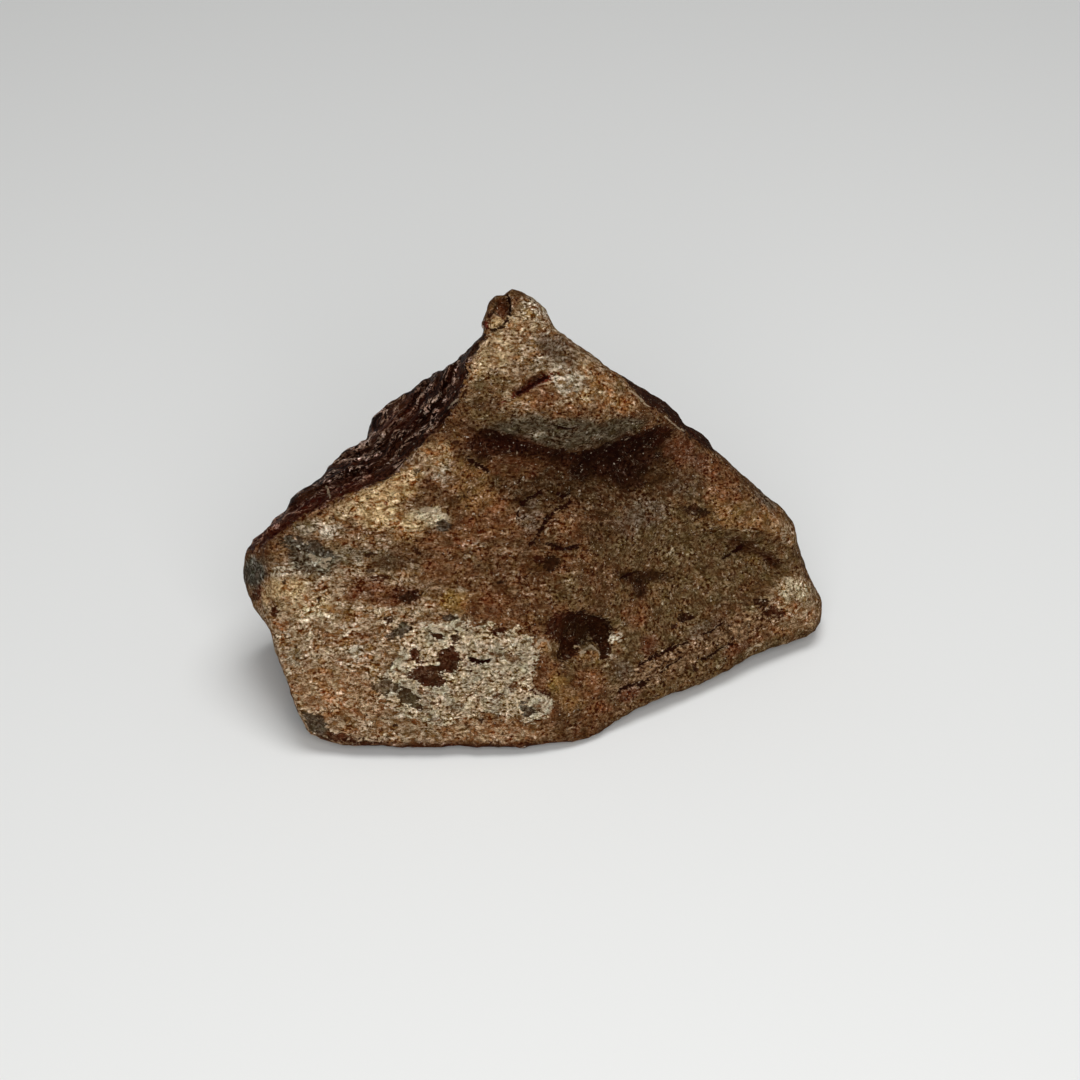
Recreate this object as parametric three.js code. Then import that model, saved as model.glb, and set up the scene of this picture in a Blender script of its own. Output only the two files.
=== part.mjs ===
// A stony meteorite in one piece: a broad hollowed face under an overhanging brow, a knob at the
// peak with a pit in it, a wrinkled flank on the left, a ledge behind the right rim and thumb
// prints on the back. Millimetres, +Z up. It rests on z = 0, with the origin under the middle of
// its bounding box.
import * as THREE from "three";
import { mergeVertices } from "three/addons/utils/BufferGeometryUtils.js";

const { clamp, degToRad, lerp, smoothstep } = THREE.MathUtils;

// The lines of the broad face are drawn on a plane that leans back from upright and touches the
// ground along the front of the foot. They are struck from an eye in front of that plane, so a
// point that lies deeper is drawn a little nearer to the middle.
const FACE_LEAN = degToRad(35);
const EYE_DISTANCE = 300;
const EYE_ACROSS = 0.6;
const EYE_UP = 20.2;

// From the front of the foot to the origin, which lies under the middle of the bounding box.
const ORIGIN_ACROSS = 0.301;
const ORIGIN_BACK = 14.746;

// Across and up on the drawing plane, clockwise, with the outside on the left of each line.
const OUTLINE = [
  // knob
  [-2.9, 43.9], [-2.1, 44.5], [-0.3, 43.6], [0.8, 42.6], [1.3, 41.6], [1.9, 40.6],
  // right shoulder and the ledge behind it
  [3.3, 39.7], [7.3, 36.7], [10.4, 34.8], [12.2, 33.8], [13.4, 32.7], [14.5, 31.4],
  [16.3, 30.3], [17.3, 29.0], [19.5, 27.0], [23.9, 23.1], [25.0, 22.2],
  // right tip
  [25.5, 20.2], [26.3, 17.5], [27.9, 14.4], [28.1, 12.4], [27.4, 11.2], [25.7, 10.3],
  // foot, receding on the right and straight in front
  [22.9, 9.7], [21.0, 8.9], [19.0, 7.6], [16.1, 6.2], [11.6, 4.7], [9.7, 3.7], [7.0, 1.7],
  [5.4, 0.8], [3.5, 0.3], [-3.5, 0.1], [-12.8, 0], [-18.7, 0.2], [-20.3, 0.6],
  // left side, undercut below the nose
  [-22.0, 1.7], [-22.8, 3.7], [-24.3, 7.6], [-25.0, 9.5], [-25.3, 11.3], [-26.8, 13.4],
  [-27.6, 14.8], [-28.0, 16.8], [-27.9, 18.8], [-27.1, 20.2],
  // skyline of the flank, with its steps
  [-25.7, 21.2], [-24.5, 22.4], [-23.3, 24.1], [-22.2, 25.3], [-20.8, 25.9], [-19.8, 27.3],
  [-17.9, 29.0], [-16.2, 29.8], [-15.9, 30.9], [-15.2, 32.5], [-13.9, 33.8], [-12.4, 34.8],
  [-8.6, 36.7], [-7.0, 38.0], [-5.2, 39.7], [-4.7, 40.5], [-4.8, 41.4], [-4.5, 42.4],
  [-4.3, 43.3], [-3.6, 43.9], [-2.9, 43.9],
];
// Where the broad face breaks into the flank, from the nose up to the knob.
const FLANK_EDGE = [
  [-29.5, 18.3], [-26.4, 19.7], [-24.2, 21.2], [-21.8, 22.9], [-18.9, 24.2], [-15.9, 25.3],
  [-13.3, 26.8], [-11.6, 29.0], [-9.1, 31.1], [-7.4, 33.6], [-6.8, 35.3], [-6.2, 37.5],
  [-4.6, 40.0], [-6.5, 50.0],
];
// Where the face breaks into the ledge and the steep right side, from the knob to the tip.
const RIM = [
  [-6.0, 48.0], [2.0, 41.2], [7.4, 36.8], [9.9, 34.6], [11.1, 33.4], [13.0, 32.2], [15.2, 30.2], [17.3, 28.4],
  [21.4, 24.7], [24.6, 21.9], [25.2, 20.2], [25.8, 17.8], [26.2, 16.0], [27.4, 14.0],
  [27.6, 12.4], [27.6, 0],
];
// The brow: its crest, and the lip under which the face is cut back.
const CREST = [
  [-40.0, 34.5], [-6.4, 33.6], [-2.7, 33.4], [1.0, 32.7], [4.8, 31.9], [9.3, 31.9], [11.3, 32.5],
  [40.0, 42.0],
];
const LIP = [
  [-40.0, 32.0], [-6.4, 31.2], [-3.6, 30.8], [-1.4, 30.0], [0.8, 29.5], [4.2, 28.6], [5.6, 29.0],
  [8.5, 30.0], [10.9, 31.0], [40.0, 41.5],
];

// The face stands out from the drawing plane by FACE_FOOT at the foot and leans less than it.
const FACE_FOOT = 1.6;
const FACE_RISE = 0.14;
const FACE_TURN = { from: 3, round: 2.5, slope: 0.64 }; // to the right the face turns away
const LEFT_TURN = { from: -6, round: 3, slope: 0.1 };
const NOSE_TURN = { from: -25.9, round: 0.35, slope: 1.7 };
const CREST_OUT = 6.4;
const CREST_TURN = { from: 2, round: 2, slope: 0.42 };
const ABOVE_CREST = 0.24;
const BELOW_CREST = 0.62;
const LIP_CUT = 1.3; // the lip drops back to the face within this height
const FLANK = { slope: 2.2, round: 0.3 };
const RIM_SIDE = { slope: 4, round: 0.25 };
const KNOB = { at: [-1.5, 21.2, 35.0], radii: [3.7, 3.3, 3.9], blend: 3.0 };

// Swells and hollows of the face: across, up, half length, half width, turn in degrees, height.
const RELIEF = [
  [5.5, 27.0, 9.0, 3.6, 8, -2.7], // under the lip
  [-3.0, 26.6, 5.5, 3.0, -20, -0.9],
  [-2.8, 20.0, 6.5, 6.0, 30, -1.5], // middle of the hollow
  [-13.0, 17.0, 8.5, 3.0, 10, -1.2], // its tail towards the nose
  [-13.5, 23.2, 7.5, 2.3, 32, 0.9], // shoulder along the flank's edge
  [-9.0, 28.0, 3.0, 3.0, 40, 0.6],
  [-11.0, 7.5, 12.0, 6.0, 0, 1.3], // lower lobe
  [-22.5, 13.5, 3.5, 4.5, 0, 0.6],
  [4.6, 18.0, 3.4, 6.0, 12, 0.6], // swell beside the hollow
  [13.5, 18.5, 6.5, 6.0, -20, -1.8], // basin on the right
  [5.4, 10.5, 2.9, 2.0, 15, -1.5], // pit
  [1.5, 5.0, 4.0, 3.0, 0, 0.5],
  [22.5, 21.6, 3.6, 2.2, -20, 1.1], // swelling over the tip, with a crease below it
  [21.0, 18.4, 4.2, 1.1, -22, -1.2],
  [24.8, 14.4, 2.6, 2.6, 0, 0.9],
  [16.0, 9.5, 6.0, 2.2, 25, 0.6],
  [19.5, 12.3, 1.4, 1.0, 30, -0.5],
  [3.6, 35.6, 4.5, 1.6, -35, 0.7], // swelling above the crest
  [-1.0, 36.4, 2.2, 0.8, 35, -0.5],
];
const KNOB_PIT = { at: [-3.0, 20.1, 37.7], radius: 1.15, blend: 0.4 };

// Flats that close the stone behind, as a direction and a distance from the front of the foot.
const BACKS = [
  { towards: [0.1, 0.97, 0.2], distance: 30.2 },
  { towards: [-0.641, 0.767, 0.023], distance: 30.2 },
  { towards: [0.6, 0.8, 0.05], distance: 34.4 },
  { towards: [0.5, 0.62, 0.6], distance: 37.5 },
  { towards: [-0.35, 0.72, 0.6], distance: 37.2 },
];
// Thumb prints pressed into the back and sides: centre of the ball that presses, and its radius.
const THUMB_PRINTS = [
  { at: [3.4, 36.2, 15.0], radius: 9.5 },
  { at: [13.0, 34.4, 7.4], radius: 7.0 },
  { at: [23.9, 32.1, 6.0], radius: 7.0 },
  { at: [-20.6, 31.2, 8.4], radius: 8.5 },
  { at: [-24.2, 25.0, 16.6], radius: 5.8 },
  { at: [-9.0, 33.8, 18.6], radius: 6.5 },
  { at: [-6.0, 35.2, 5.8], radius: 7.5 },
  { at: [12.0, 31.4, 19.6], radius: 7.0 },
  { at: [1.5, 31.0, 29.0], radius: 6.4 },
];
const PRINT_ROUND = 2.6;
const PRINT_WARP = 0.9; // keeps the prints from being round
const BACK_ROUND = 1.6;
const OUTLINE_ROUND = 1.1;
const OUTLINE_SPREAD = 0.12; // makes up for the rounding
// The flat spot it rests on; outside it the underside rises slowly.
const REST = { at: [-4, 12], radii: [18, 12], rise: 1.2, sink: 0.35, round: 2.0 };

const DETAIL = 21; // the ball that is pressed to shape has 20 * (DETAIL + 1)^2 triangles
const HEART = [0, 20, 22];
const SPREAD = [28, 16, 19]; // more of the ball's points go to the far ends
const FARTHEST = 40;
const CROWDING = { times: 3, within: 6 }; // the points stand closer on the knob
const SETTLING = 60;
const UNFOLDING = 12; // the first rounds also smooth across the skin, which opens any fold

const softRamp = (t, round) => round * Math.log1p(Math.exp(t / round));

// The larger of two, with the corner between them rounded.
function roundedMax(a, b, round) {
  const near = Math.max(round - Math.abs(a - b), 0) / round;
  return Math.max(a, b) + (near * near * round) / 4;
}

// Distance from a line of points, positive on its left.
function sideOf(line, u, v) {
  let nearest = Infinity;
  let side = 1;
  for (let i = 1; i < line.length; i++) {
    const [au, av] = line[i - 1];
    const du = line[i][0] - au;
    const dv = line[i][1] - av;
    const along = clamp(((u - au) * du + (v - av) * dv) / (du * du + dv * dv), 0, 1);
    const away = (u - au - along * du) ** 2 + (v - av - along * dv) ** 2;
    if (away < nearest) {
      nearest = away;
      side = du * (v - av) - dv * (u - au) < 0 ? -1 : 1;
    }
  }
  return side * Math.sqrt(nearest);
}

function relief(u, v) {
  let height = 0;
  for (const [across, up, halfLength, halfWidth, degrees, swell] of RELIEF) {
    const turn = degToRad(degrees);
    const du = u - across;
    const dv = v - up;
    const along = (du * Math.cos(turn) + dv * Math.sin(turn)) / halfLength;
    const beside = (dv * Math.cos(turn) - du * Math.sin(turn)) / halfWidth;
    height += swell * Math.exp(-along * along - beside * beside);
  }
  return height;
}

// Uneven lumps over the whole stone, from a few crossed waves.
function lumps(x, y, z) {
  const broad = Math.sin(0.42 * x + 0.9 * Math.sin(0.31 * z)) * Math.sin(0.47 * y + 1.3)
    + Math.sin(0.51 * z + 0.8 * Math.sin(0.37 * x + 2));
  const fine = Math.sin(1.1 * x + 0.7 * z + 1.4 * Math.sin(0.6 * y))
    * Math.sin(1.2 * y - 0.5 * x + 1.1 * Math.sin(0.8 * z));
  return 0.28 * broad + 0.16 * fine;
}

// Wrinkles of the flank, running along its edge.
function wrinkles(u, v, beyond) {
  const wander = 0.5 * Math.sin(0.55 * u + 0.3 * v) + 0.3 * Math.sin(1.3 * u - 0.6 * v + 1);
  const phase = 3.6 * beyond + 1.6 * wander;
  const fade = smoothstep(beyond, 0.1, 1) * (1 - smoothstep(beyond, 3.4, 5));
  return fade * (0.34 * Math.sin(phase) + 0.16 * Math.sin(2.3 * phase + 0.8 * u));
}

// How far the visible side stands out from the drawing plane at a drawn point.
function faceOut(u, v) {
  const turn = ({ from, round, slope }, t) => slope * softRamp(t - from, round);
  const mirrored = ({ from, round, slope }, t) => slope * softRamp(from - t, round);

  let face = FACE_FOOT + FACE_RISE * v - turn(FACE_TURN, u);
  face -= mirrored(LEFT_TURN, u) * smoothstep(v, 3, 14);
  face -= mirrored(NOSE_TURN, u);

  const crest = sideOf(CREST, u, v);
  const brow = CREST_OUT - turn(CREST_TURN, u)
    - ABOVE_CREST * softRamp(crest, 0.4) - BELOW_CREST * softRamp(-crest, 0.4);
  face = lerp(face + relief(u, v), brow + 0.5 * relief(u, v), smoothstep(sideOf(LIP, u, v), -LIP_CUT, 0));

  const beyondEdge = sideOf(FLANK_EDGE, u, v);
  face += wrinkles(u, v, beyondEdge) * FLANK.slope;
  face -= FLANK.slope * softRamp(beyondEdge, FLANK.round);
  return face - RIM_SIDE.slope * softRamp(sideOf(RIM, u, v), RIM_SIDE.round);
}

// Distance from a ball at a point, before any stretching.
const fromBall = ([cx, cy, cz], radius, x, y, z) => Math.hypot(x - cx, y - cy, z - cz) - radius;

// The knob at the peak, with its pit.
function knob(x, y, z) {
  const [cx, cy, cz] = KNOB.at;
  const [rx, ry, rz] = KNOB.radii;
  const egg = (Math.hypot((x - cx) / rx, (y - cy) / ry, (z - cz) / rz) - 1) * Math.min(rx, ry, rz);
  return roundedMax(egg, -fromBall(KNOB_PIT.at, KNOB_PIT.radius, x, y, z), KNOB_PIT.blend);
}

// Negative inside the stone, zero on its skin.
function outside(x, y, z) {
  const up = y * Math.sin(FACE_LEAN) + z * Math.cos(FACE_LEAN);
  const out = z * Math.sin(FACE_LEAN) - y * Math.cos(FACE_LEAN);
  const nearer = EYE_DISTANCE / (EYE_DISTANCE - out);
  const u = EYE_ACROSS + (x - EYE_ACROSS) * nearer;
  const v = EYE_UP + (up - EYE_UP) * nearer;

  const face = faceOut(u, v);
  const behind = smoothstep(face - out, 5, 12);
  const lump = lumps(x, y, z);
  let skin = out - face - 0.25 * lump;
  for (const { towards: [nx, ny, nz], distance } of BACKS) {
    skin = roundedMax(skin, nx * x + ny * y + nz * z - distance - lump, BACK_ROUND);
  }
  for (const { at, radius } of THUMB_PRINTS) {
    skin = roundedMax(skin, PRINT_WARP * lump - fromBall(at, radius, x, y, z), PRINT_ROUND);
  }
  skin = -roundedMax(-skin, -knob(x, y, z), KNOB.blend);
  const rim = sideOf(OUTLINE, u, v) - OUTLINE_SPREAD + behind * Math.max(lump, 0);
  skin = roundedMax(skin, rim, OUTLINE_ROUND);
  const fromRest = Math.hypot((x - REST.at[0]) / REST.radii[0], (y - REST.at[1]) / REST.radii[1]);
  const rise = REST.rise * Math.max(fromRest - 1, 0) * (1 + lump);
  skin = roundedMax(skin, rise - REST.sink - z, REST.round);
  return Math.max(skin, -z);
}

// Direction in which outside() grows, and how fast.
function slopeAt(x, y, z) {
  const step = 0.05;
  return new THREE.Vector3(
    outside(x + step, y, z) - outside(x - step, y, z),
    outside(x, y + step, z) - outside(x, y - step, z),
    outside(x, y, z + step) - outside(x, y, z - step),
  ).divideScalar(2 * step);
}

// Moves a point towards the skin, down the given slope.
function press(point, slope) {
  const steep = Math.max(slope.lengthSq(), 0.05);
  const gap = outside(point.x, point.y, point.z) / steep;
  point.addScaledVector(slope, -clamp(gap, -0.8, 0.8));
}

// Where a ray from the heart of the stone leaves it.
function skinAlong(direction) {
  const heart = new THREE.Vector3(...HEART);
  const at = (t) => heart.clone().addScaledVector(direction, t);
  let inner = 0;
  let outer = FARTHEST;
  for (let t = 1; t < FARTHEST; t++) {
    if (outside(...at(t)) > 0) {
      outer = t;
      break;
    }
    inner = t;
  }
  for (let i = 0; i < 12; i++) {
    const middle = (inner + outer) / 2;
    if (outside(...at(middle)) > 0) outer = middle;
    else inner = middle;
  }
  return at(inner);
}

// How a point is drawn by its neighbours, harder by the farther ones and by those on the knob.
function pullOf(point, around) {
  const pull = new THREE.Vector3();
  let total = 0;
  for (const other of around) {
    const edge = other.clone().sub(point);
    const fromKnob = fromBall(KNOB.at, 0, other.x, other.y, other.z) / CROWDING.within;
    const weight = edge.lengthSq() * (1 + CROWDING.times * Math.exp(-fromKnob * fromKnob));
    pull.addScaledVector(edge, weight);
    total += weight;
  }
  return pull.divideScalar(total);
}

// A ball pressed to the shape of the stone, its points then evened out along the skin.
function stoneGeometry() {
  const ball = new THREE.IcosahedronGeometry(1, DETAIL);
  ball.deleteAttribute("normal");
  ball.deleteAttribute("uv");
  const geometry = mergeVertices(ball);
  const position = geometry.getAttribute("position");
  const index = geometry.getIndex();

  const neighbours = Array.from({ length: position.count }, () => []);
  for (let i = 0; i < index.count; i += 3) {
    const corners = [index.getX(i), index.getX(i + 1), index.getX(i + 2)];
    corners.forEach((corner, k) => neighbours[corner].push(corners[(k + 1) % 3]));
  }

  const spread = new THREE.Vector3(...SPREAD);
  const points = Array.from({ length: position.count }, (_, i) =>
    skinAlong(new THREE.Vector3().fromBufferAttribute(position, i).multiply(spread).normalize()));
  for (let round = 0; round < SETTLING; round++) {
    points.forEach((point, i) => {
      const slope = slopeAt(point.x, point.y, point.z);
      const skin = slope.clone().normalize();
      const pull = pullOf(point, neighbours[i].map((n) => points[n]));
      if (round >= UNFOLDING) pull.addScaledVector(skin, -pull.dot(skin));
      point.addScaledVector(pull, 0.8);
      press(point, slope);
    });
  }
  for (const point of points) {
    for (let i = 0; i < 3; i++) press(point, slopeAt(point.x, point.y, point.z));
  }
  points.forEach((point, i) => position.setXYZ(i, point.x, point.y, Math.max(point.z, 0)));
  geometry.computeVertexNormals();
  return geometry;
}

const weatheredCrust = new THREE.MeshStandardMaterial({
  color: 0x5f4833,
  roughness: 0.65,
  metalness: 0,
});

const stone = new THREE.Mesh(stoneGeometry(), weatheredCrust);
stone.name = "meteorite";
stone.position.set(-ORIGIN_ACROSS, -ORIGIN_BACK, 0);

const part = new THREE.Group();
part.add(stone);

export default part;
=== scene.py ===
"""A weathered chondrite meteorite on a pale floor.

The stone is one piece. Its solid's mesh is split finely, settled on the skin that the solid
follows, and given the low relief of the crust: flow ridges on the flank, cracks, plates, pits and
the raised lime crust. Where each colour lies is kept as soft fields on the points, and the
material's own grain breaks their edges up. Shape is worked out in millimetres and set in metres
at the end.
"""
import math

import bpy
import numpy as np
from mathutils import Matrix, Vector, noise


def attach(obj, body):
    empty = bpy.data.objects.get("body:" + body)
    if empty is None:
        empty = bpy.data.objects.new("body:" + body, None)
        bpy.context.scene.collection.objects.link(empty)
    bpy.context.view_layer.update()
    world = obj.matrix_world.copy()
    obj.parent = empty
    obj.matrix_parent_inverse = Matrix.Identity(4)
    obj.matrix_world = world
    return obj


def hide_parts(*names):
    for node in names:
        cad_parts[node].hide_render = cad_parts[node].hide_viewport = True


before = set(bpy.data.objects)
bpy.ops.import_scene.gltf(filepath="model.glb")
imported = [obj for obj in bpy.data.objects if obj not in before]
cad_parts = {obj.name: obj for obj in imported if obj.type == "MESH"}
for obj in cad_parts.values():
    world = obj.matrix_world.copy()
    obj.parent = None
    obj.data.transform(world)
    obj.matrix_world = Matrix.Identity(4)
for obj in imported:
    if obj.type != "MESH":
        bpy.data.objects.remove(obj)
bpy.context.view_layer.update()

MM = 0.001

# ---------------------------------------------------------------- the face's drawing plane
# Marks on the broad face are placed across (u) and up (v) a plane that leans back from upright
# and touches the ground along the front of the foot, as seen from an eye in front of it.
LEAN = math.radians(35)
EYE_DISTANCE, EYE_ACROSS, EYE_UP = 300.0, 0.6, 20.2
ORIGIN = np.array([0.301, 14.746, 0.0])


def drawn(points):
    """Across and up on the drawing plane, and how far out of it."""
    x, y, z = points.T
    up = y * math.sin(LEAN) + z * math.cos(LEAN)
    out = z * math.sin(LEAN) - y * math.cos(LEAN)
    nearer = EYE_DISTANCE / (EYE_DISTANCE - out)
    return EYE_ACROSS + (x - EYE_ACROSS) * nearer, EYE_UP + (up - EYE_UP) * nearer, out


# ---------------------------------------------------------------- the skin of the solid
OUTLINE = [
    (-2.9, 43.9), (-2.1, 44.5), (-0.3, 43.6), (0.8, 42.6), (1.3, 41.6), (1.9, 40.6),
    (3.3, 39.7), (7.3, 36.7), (10.4, 34.8), (12.2, 33.8), (13.4, 32.7), (14.5, 31.4),
    (16.3, 30.3), (17.3, 29), (19.5, 27), (23.9, 23.1), (25, 22.2),
    (25.5, 20.2), (26.3, 17.5), (27.9, 14.4), (28.1, 12.4), (27.4, 11.2), (25.7, 10.3),
    (22.9, 9.7), (21, 8.9), (19, 7.6), (16.1, 6.2), (11.6, 4.7), (9.7, 3.7), (7, 1.7),
    (5.4, 0.8), (3.5, 0.3), (-3.5, 0.1), (-12.8, 0), (-18.7, 0.2), (-20.3, 0.6),
    (-22, 1.7), (-22.8, 3.7), (-24.3, 7.6), (-25, 9.5), (-25.3, 11.3), (-26.8, 13.4),
    (-27.6, 14.8), (-28, 16.8), (-27.9, 18.8), (-27.1, 20.2),
    (-25.7, 21.2), (-24.5, 22.4), (-23.3, 24.1), (-22.2, 25.3), (-20.8, 25.9), (-19.8, 27.3),
    (-17.9, 29), (-16.2, 29.8), (-15.9, 30.9), (-15.2, 32.5), (-13.9, 33.8), (-12.4, 34.8),
    (-8.6, 36.7), (-7, 38), (-5.2, 39.7), (-4.7, 40.5), (-4.8, 41.4), (-4.5, 42.4),
    (-4.3, 43.3), (-3.6, 43.9), (-2.9, 43.9),
]
FLANK_EDGE = [
    (-29.5, 18.3), (-26.4, 19.7), (-24.2, 21.2), (-21.8, 22.9), (-18.9, 24.2), (-15.9, 25.3),
    (-13.3, 26.8), (-11.6, 29), (-9.1, 31.1), (-7.4, 33.6), (-6.8, 35.3), (-6.2, 37.5),
    (-4.6, 40), (-6.5, 50),
]
RIM = [
    (-6, 48), (2, 41.2), (7.4, 36.8), (9.9, 34.6), (11.1, 33.4), (13, 32.2),
    (15.2, 30.2), (17.3, 28.7), (21.6, 24.9), (24.8, 22), (25.3, 20.2), (26, 17.6),
    (26.6, 16.2), (27.6, 14.2), (27.9, 12.4), (27.9, 0),
]
CREST = [
    (-40, 34.5), (-6.4, 33.6), (-2.7, 33.4), (1, 32.7), (4.8, 31.9), (9.3, 31.9),
    (11.3, 32.5), (40, 42),
]
LIP = [
    (-40, 32), (-6.4, 31.2), (-3.6, 30.8), (-1.4, 30), (0.8, 29.5), (4.2, 28.6),
    (5.6, 29), (8.5, 30), (10.9, 31), (40, 41.5),
]
# Swells and hollows of the face: across, up, half length, half width, turn, height.
RELIEF = [
    (5.5, 27, 9, 3.6, 8, -2.7),
    (-3, 26.6, 5.5, 3, -20, -0.9),
    (-2.8, 20, 6.5, 6, 30, -1.5),
    (-13, 17, 8.5, 3, 10, -1.2),
    (-13.5, 23.2, 7.5, 2.3, 32, 0.9),
    (-9, 28, 3, 3, 40, 0.6),
    (-11, 7.5, 12, 6, 0, 1.3),
    (-22.5, 13.5, 3.5, 4.5, 0, 0.6),
    (4.6, 18, 3.4, 6, 12, 0.6),
    (13.5, 18.5, 6.5, 6, -20, -1.8),
    (5.4, 10.5, 2.9, 2, 15, -1.5),
    (1.5, 5, 4, 3, 0, 0.5),
    (22.5, 21.6, 3.6, 2.2, -20, 1.1),
    (21, 18.4, 4.2, 1.1, -22, -1.2),
    (24.8, 14.4, 2.6, 2.6, 0, 0.9),
    (16, 9.5, 6, 2.2, 25, 0.6),
    (19.5, 12.3, 1.4, 1, 30, -0.5),
    (3.6, 35.6, 4.5, 1.6, -35, 0.7),
    (-1, 36.4, 2.2, 0.8, 35, -0.5),
]
BACKS = [
    ((0.1, 0.97, 0.2), 30.2),
    ((-0.641, 0.767, 0.023), 30.2),
    ((0.6, 0.8, 0.05), 34.4),
    ((0.5, 0.62, 0.6), 37.5),
    ((-0.35, 0.72, 0.6), 37.2),
]
THUMB_PRINTS = [
    ((3.4, 36.2, 15), 9.5), ((13, 34.4, 7.4), 7), ((23.9, 32.1, 6), 7),
    ((-20.6, 31.2, 8.4), 8.5), ((-24.2, 25, 16.6), 5.8), ((-9, 33.8, 18.6), 6.5),
    ((-6, 35.2, 5.8), 7.5), ((12, 31.4, 19.6), 7), ((1.5, 31, 29), 6.4),
]


def soft_ramp(t, round_off):
    return round_off * np.logaddexp(0, t / round_off)


def smoothstep(t, low, high):
    t = np.clip((t - low) / (high - low), 0, 1)
    return t * t * (3 - 2 * t)


def rounded_max(a, b, round_off):
    near = np.maximum(round_off - np.abs(a - b), 0) / round_off
    return np.maximum(a, b) + near * near * round_off / 4


def from_line(line, u, v):
    """Distance from a line of points, positive on its left, and how far along it that is."""
    nearest = np.full(len(u), np.inf)
    side = np.ones(len(u))
    along_line = np.zeros(len(u))
    passed = 0.0
    for (au, av), (bu, bv) in zip(line, line[1:]):
        du, dv = bu - au, bv - av
        length = math.hypot(du, dv)
        along = np.clip(((u - au) * du + (v - av) * dv) / length**2, 0, 1)
        away = (u - au - along * du) ** 2 + (v - av - along * dv) ** 2
        closer = away < nearest
        nearest = np.where(closer, away, nearest)
        side = np.where(closer, np.where(du * (v - av) - dv * (u - au) < 0, -1, 1), side)
        along_line = np.where(closer, passed + along * length, along_line)
        passed += length
    return side * np.sqrt(nearest), along_line


def nearest_of(lines, u, v):
    """Signed distance from the nearest of some lines in half widths, and 1 beside it, 0 past it."""
    distance = np.full(len(u), 99.0)
    reach = np.zeros(len(u))
    for half_width, line in lines:
        side, along = from_line(line, u, v)
        length = sum(math.dist(a, b) for a, b in zip(line, line[1:]))
        beside = smoothstep(np.minimum(along, length - along), 0.0, 0.25)
        side = side / half_width
        closer = (np.abs(side) < np.abs(distance)) & (np.abs(side) * half_width < 1.5)
        distance = np.where(closer, side, distance)
        reach = np.where(closer, beside, reach)
    return distance, reach


def bump_at(u, v, across, up, half_length, half_width, degrees):
    """Squared distance from a turned oval's middle, 1 on its rim."""
    turn = math.radians(degrees)
    du, dv = u - across, v - up
    along = (du * math.cos(turn) + dv * math.sin(turn)) / half_length
    beside = (dv * math.cos(turn) - du * math.sin(turn)) / half_width
    return along**2 + beside**2


def lumps(x, y, z):
    broad = (np.sin(0.42 * x + 0.9 * np.sin(0.31 * z)) * np.sin(0.47 * y + 1.3)
             + np.sin(0.51 * z + 0.8 * np.sin(0.37 * x + 2)))
    fine = (np.sin(1.1 * x + 0.7 * z + 1.4 * np.sin(0.6 * y))
            * np.sin(1.2 * y - 0.5 * x + 1.1 * np.sin(0.8 * z)))
    return 0.28 * broad + 0.16 * fine


def wrinkles(u, v, beyond):
    wander = 0.5 * np.sin(0.55 * u + 0.3 * v) + 0.3 * np.sin(1.3 * u - 0.6 * v + 1)
    phase = 3.6 * beyond + 1.6 * wander
    fade = smoothstep(beyond, 0.1, 1) * (1 - smoothstep(beyond, 3.4, 5))
    return fade * (0.34 * np.sin(phase) + 0.16 * np.sin(2.3 * phase + 0.8 * u))


def face_out(u, v):
    """How far the visible side stands out from the drawing plane."""
    swell = sum(height * np.exp(-bump_at(u, v, *oval)) for *oval, height in RELIEF)
    face = 1.6 + 0.14 * v - 0.64 * soft_ramp(u - 3, 2.5)
    face -= 0.1 * soft_ramp(-6 - u, 3) * smoothstep(v, 3, 14)
    face -= 1.7 * soft_ramp(-25.9 - u, 0.35)
    crest, lip = from_line(CREST, u, v)[0], from_line(LIP, u, v)[0]
    brow = 6.4 - 0.42 * soft_ramp(u - 2, 2) - 0.24 * soft_ramp(crest, 0.4)
    brow -= 0.62 * soft_ramp(-crest, 0.4)
    face += swell
    face += (brow + 0.5 * swell - face) * smoothstep(lip, -1.3, 0)
    beyond = from_line(FLANK_EDGE, u, v)[0]
    face += 2.2 * (wrinkles(u, v, beyond) - soft_ramp(beyond, 0.3))
    return face - 4 * soft_ramp(from_line(RIM, u, v)[0], 0.25)


def from_ball(centre, x, y, z):
    return np.sqrt((x - centre[0]) ** 2 + (y - centre[1]) ** 2 + (z - centre[2]) ** 2)


def knob(x, y, z):
    egg = np.sqrt(((x + 1.5) / 3.7) ** 2 + ((y - 21.2) / 3.3) ** 2 + ((z - 35) / 3.9) ** 2)
    return rounded_max((egg - 1) * 3.3, 1.15 - from_ball((-3.0, 20.1, 37.7), x, y, z), 0.4)


def outside(points):
    """Negative inside the stone, zero on its skin."""
    x, y, z = points.T
    u, v, out = drawn(points)
    face = face_out(u, v)
    lump = lumps(x, y, z)
    skin = out - face - 0.25 * lump
    for (nx, ny, nz), distance in BACKS:
        skin = rounded_max(skin, nx * x + ny * y + nz * z - distance - lump, 1.6)
    for centre, radius in THUMB_PRINTS:
        skin = rounded_max(skin, 0.9 * lump - from_ball(centre, x, y, z) + radius, 2.6)
    skin = -rounded_max(-skin, -knob(x, y, z), 3.0)
    behind = smoothstep(face - out, 5, 12)
    outline = from_line(OUTLINE, u, v)[0] - 0.12 + behind * np.maximum(lump, 0)
    skin = rounded_max(skin, outline, 0.5)
    from_rest = np.sqrt(((x + 4) / 18) ** 2 + ((y - 12) / 12) ** 2)
    rise = 1.2 * np.maximum(from_rest - 1, 0) * (1 + lump)
    return np.maximum(rounded_max(skin, rise - 0.35 - z, 2.0), -z)


def slope_of(points, step=0.05):
    slope = np.empty_like(points)
    for axis in range(3):
        shift = np.zeros(3)
        shift[axis] = step
        slope[:, axis] = (outside(points + shift) - outside(points - shift)) / (2 * step)
    return slope


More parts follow.
